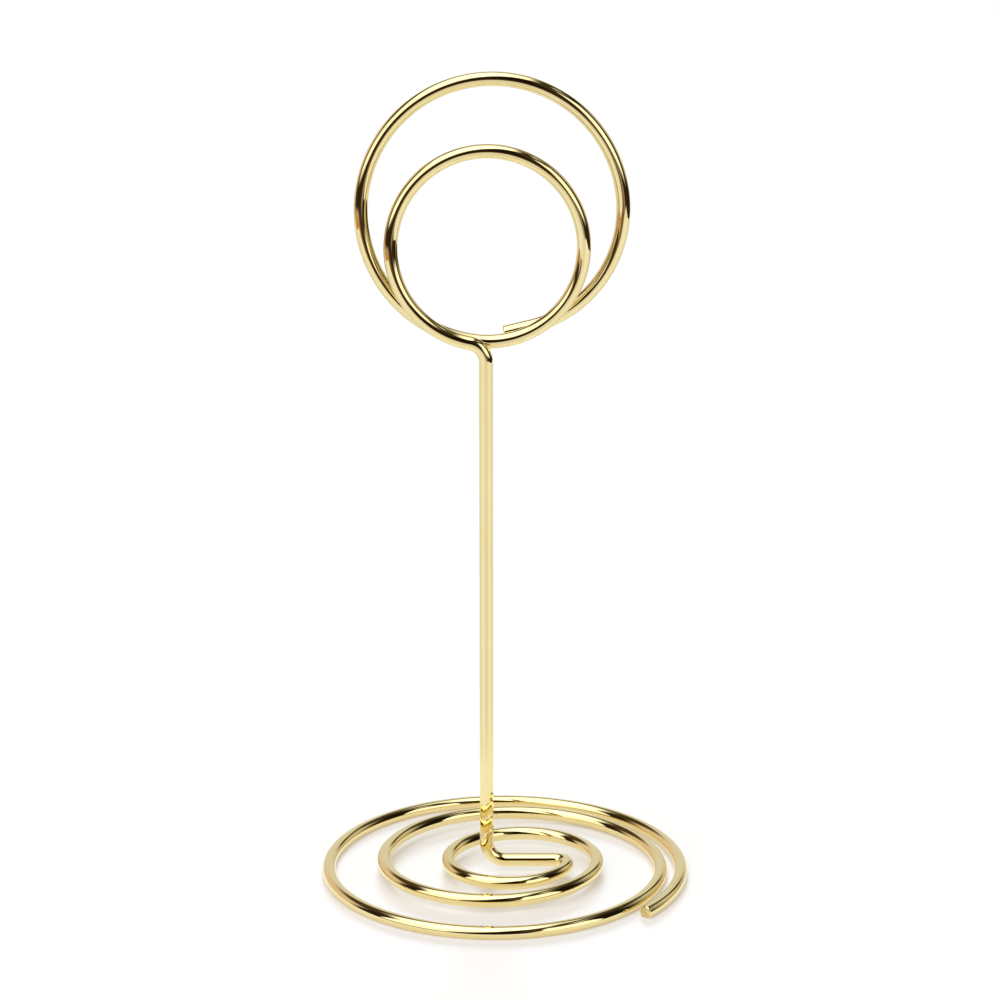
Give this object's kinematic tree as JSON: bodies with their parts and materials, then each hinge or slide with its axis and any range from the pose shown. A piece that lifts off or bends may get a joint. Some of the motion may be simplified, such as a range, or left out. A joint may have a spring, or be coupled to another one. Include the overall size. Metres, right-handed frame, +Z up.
{
  "type": "table number holder",
  "caption": "Free-standing card holder bent from round gold-plated wire: flat scroll base, straight stem and two sprung loops that grip a card between them.",
  "frame": {"origin": "on the table, in the middle of the scroll's footprint; the stem stands a little left of it and nearer the viewer", "axes": "+Z up along the stem, +X to the right and -Y towards the viewer of the card, as in the picture"},
  "size_m": [0.0814, 0.0786, 0.176],
  "materials": {
    "wire": "polished light gold plating on steel wire"
  },
  "bodies": {
    "holder": {"outer_turn": "wire", "ramp_turn": "wire", "inner_turns": "wire", "foot": "wire", "stem": "wire", "neck": "wire", "front_loop": "wire"},
    "spring_loop": {"crossover": "wire", "back_loop": "wire", "tail": "wire"}
  },
  "joints": [
    {"name": "clip_open", "type": "hinge", "parent": "holder", "child": "spring_loop", "pos_m": [-0.00374, 0.00198, 0.1192], "axis": [-1, 0, 0], "range_deg": [0, 6], "stiffness_Nm_per_rad": 4}
  ]
}
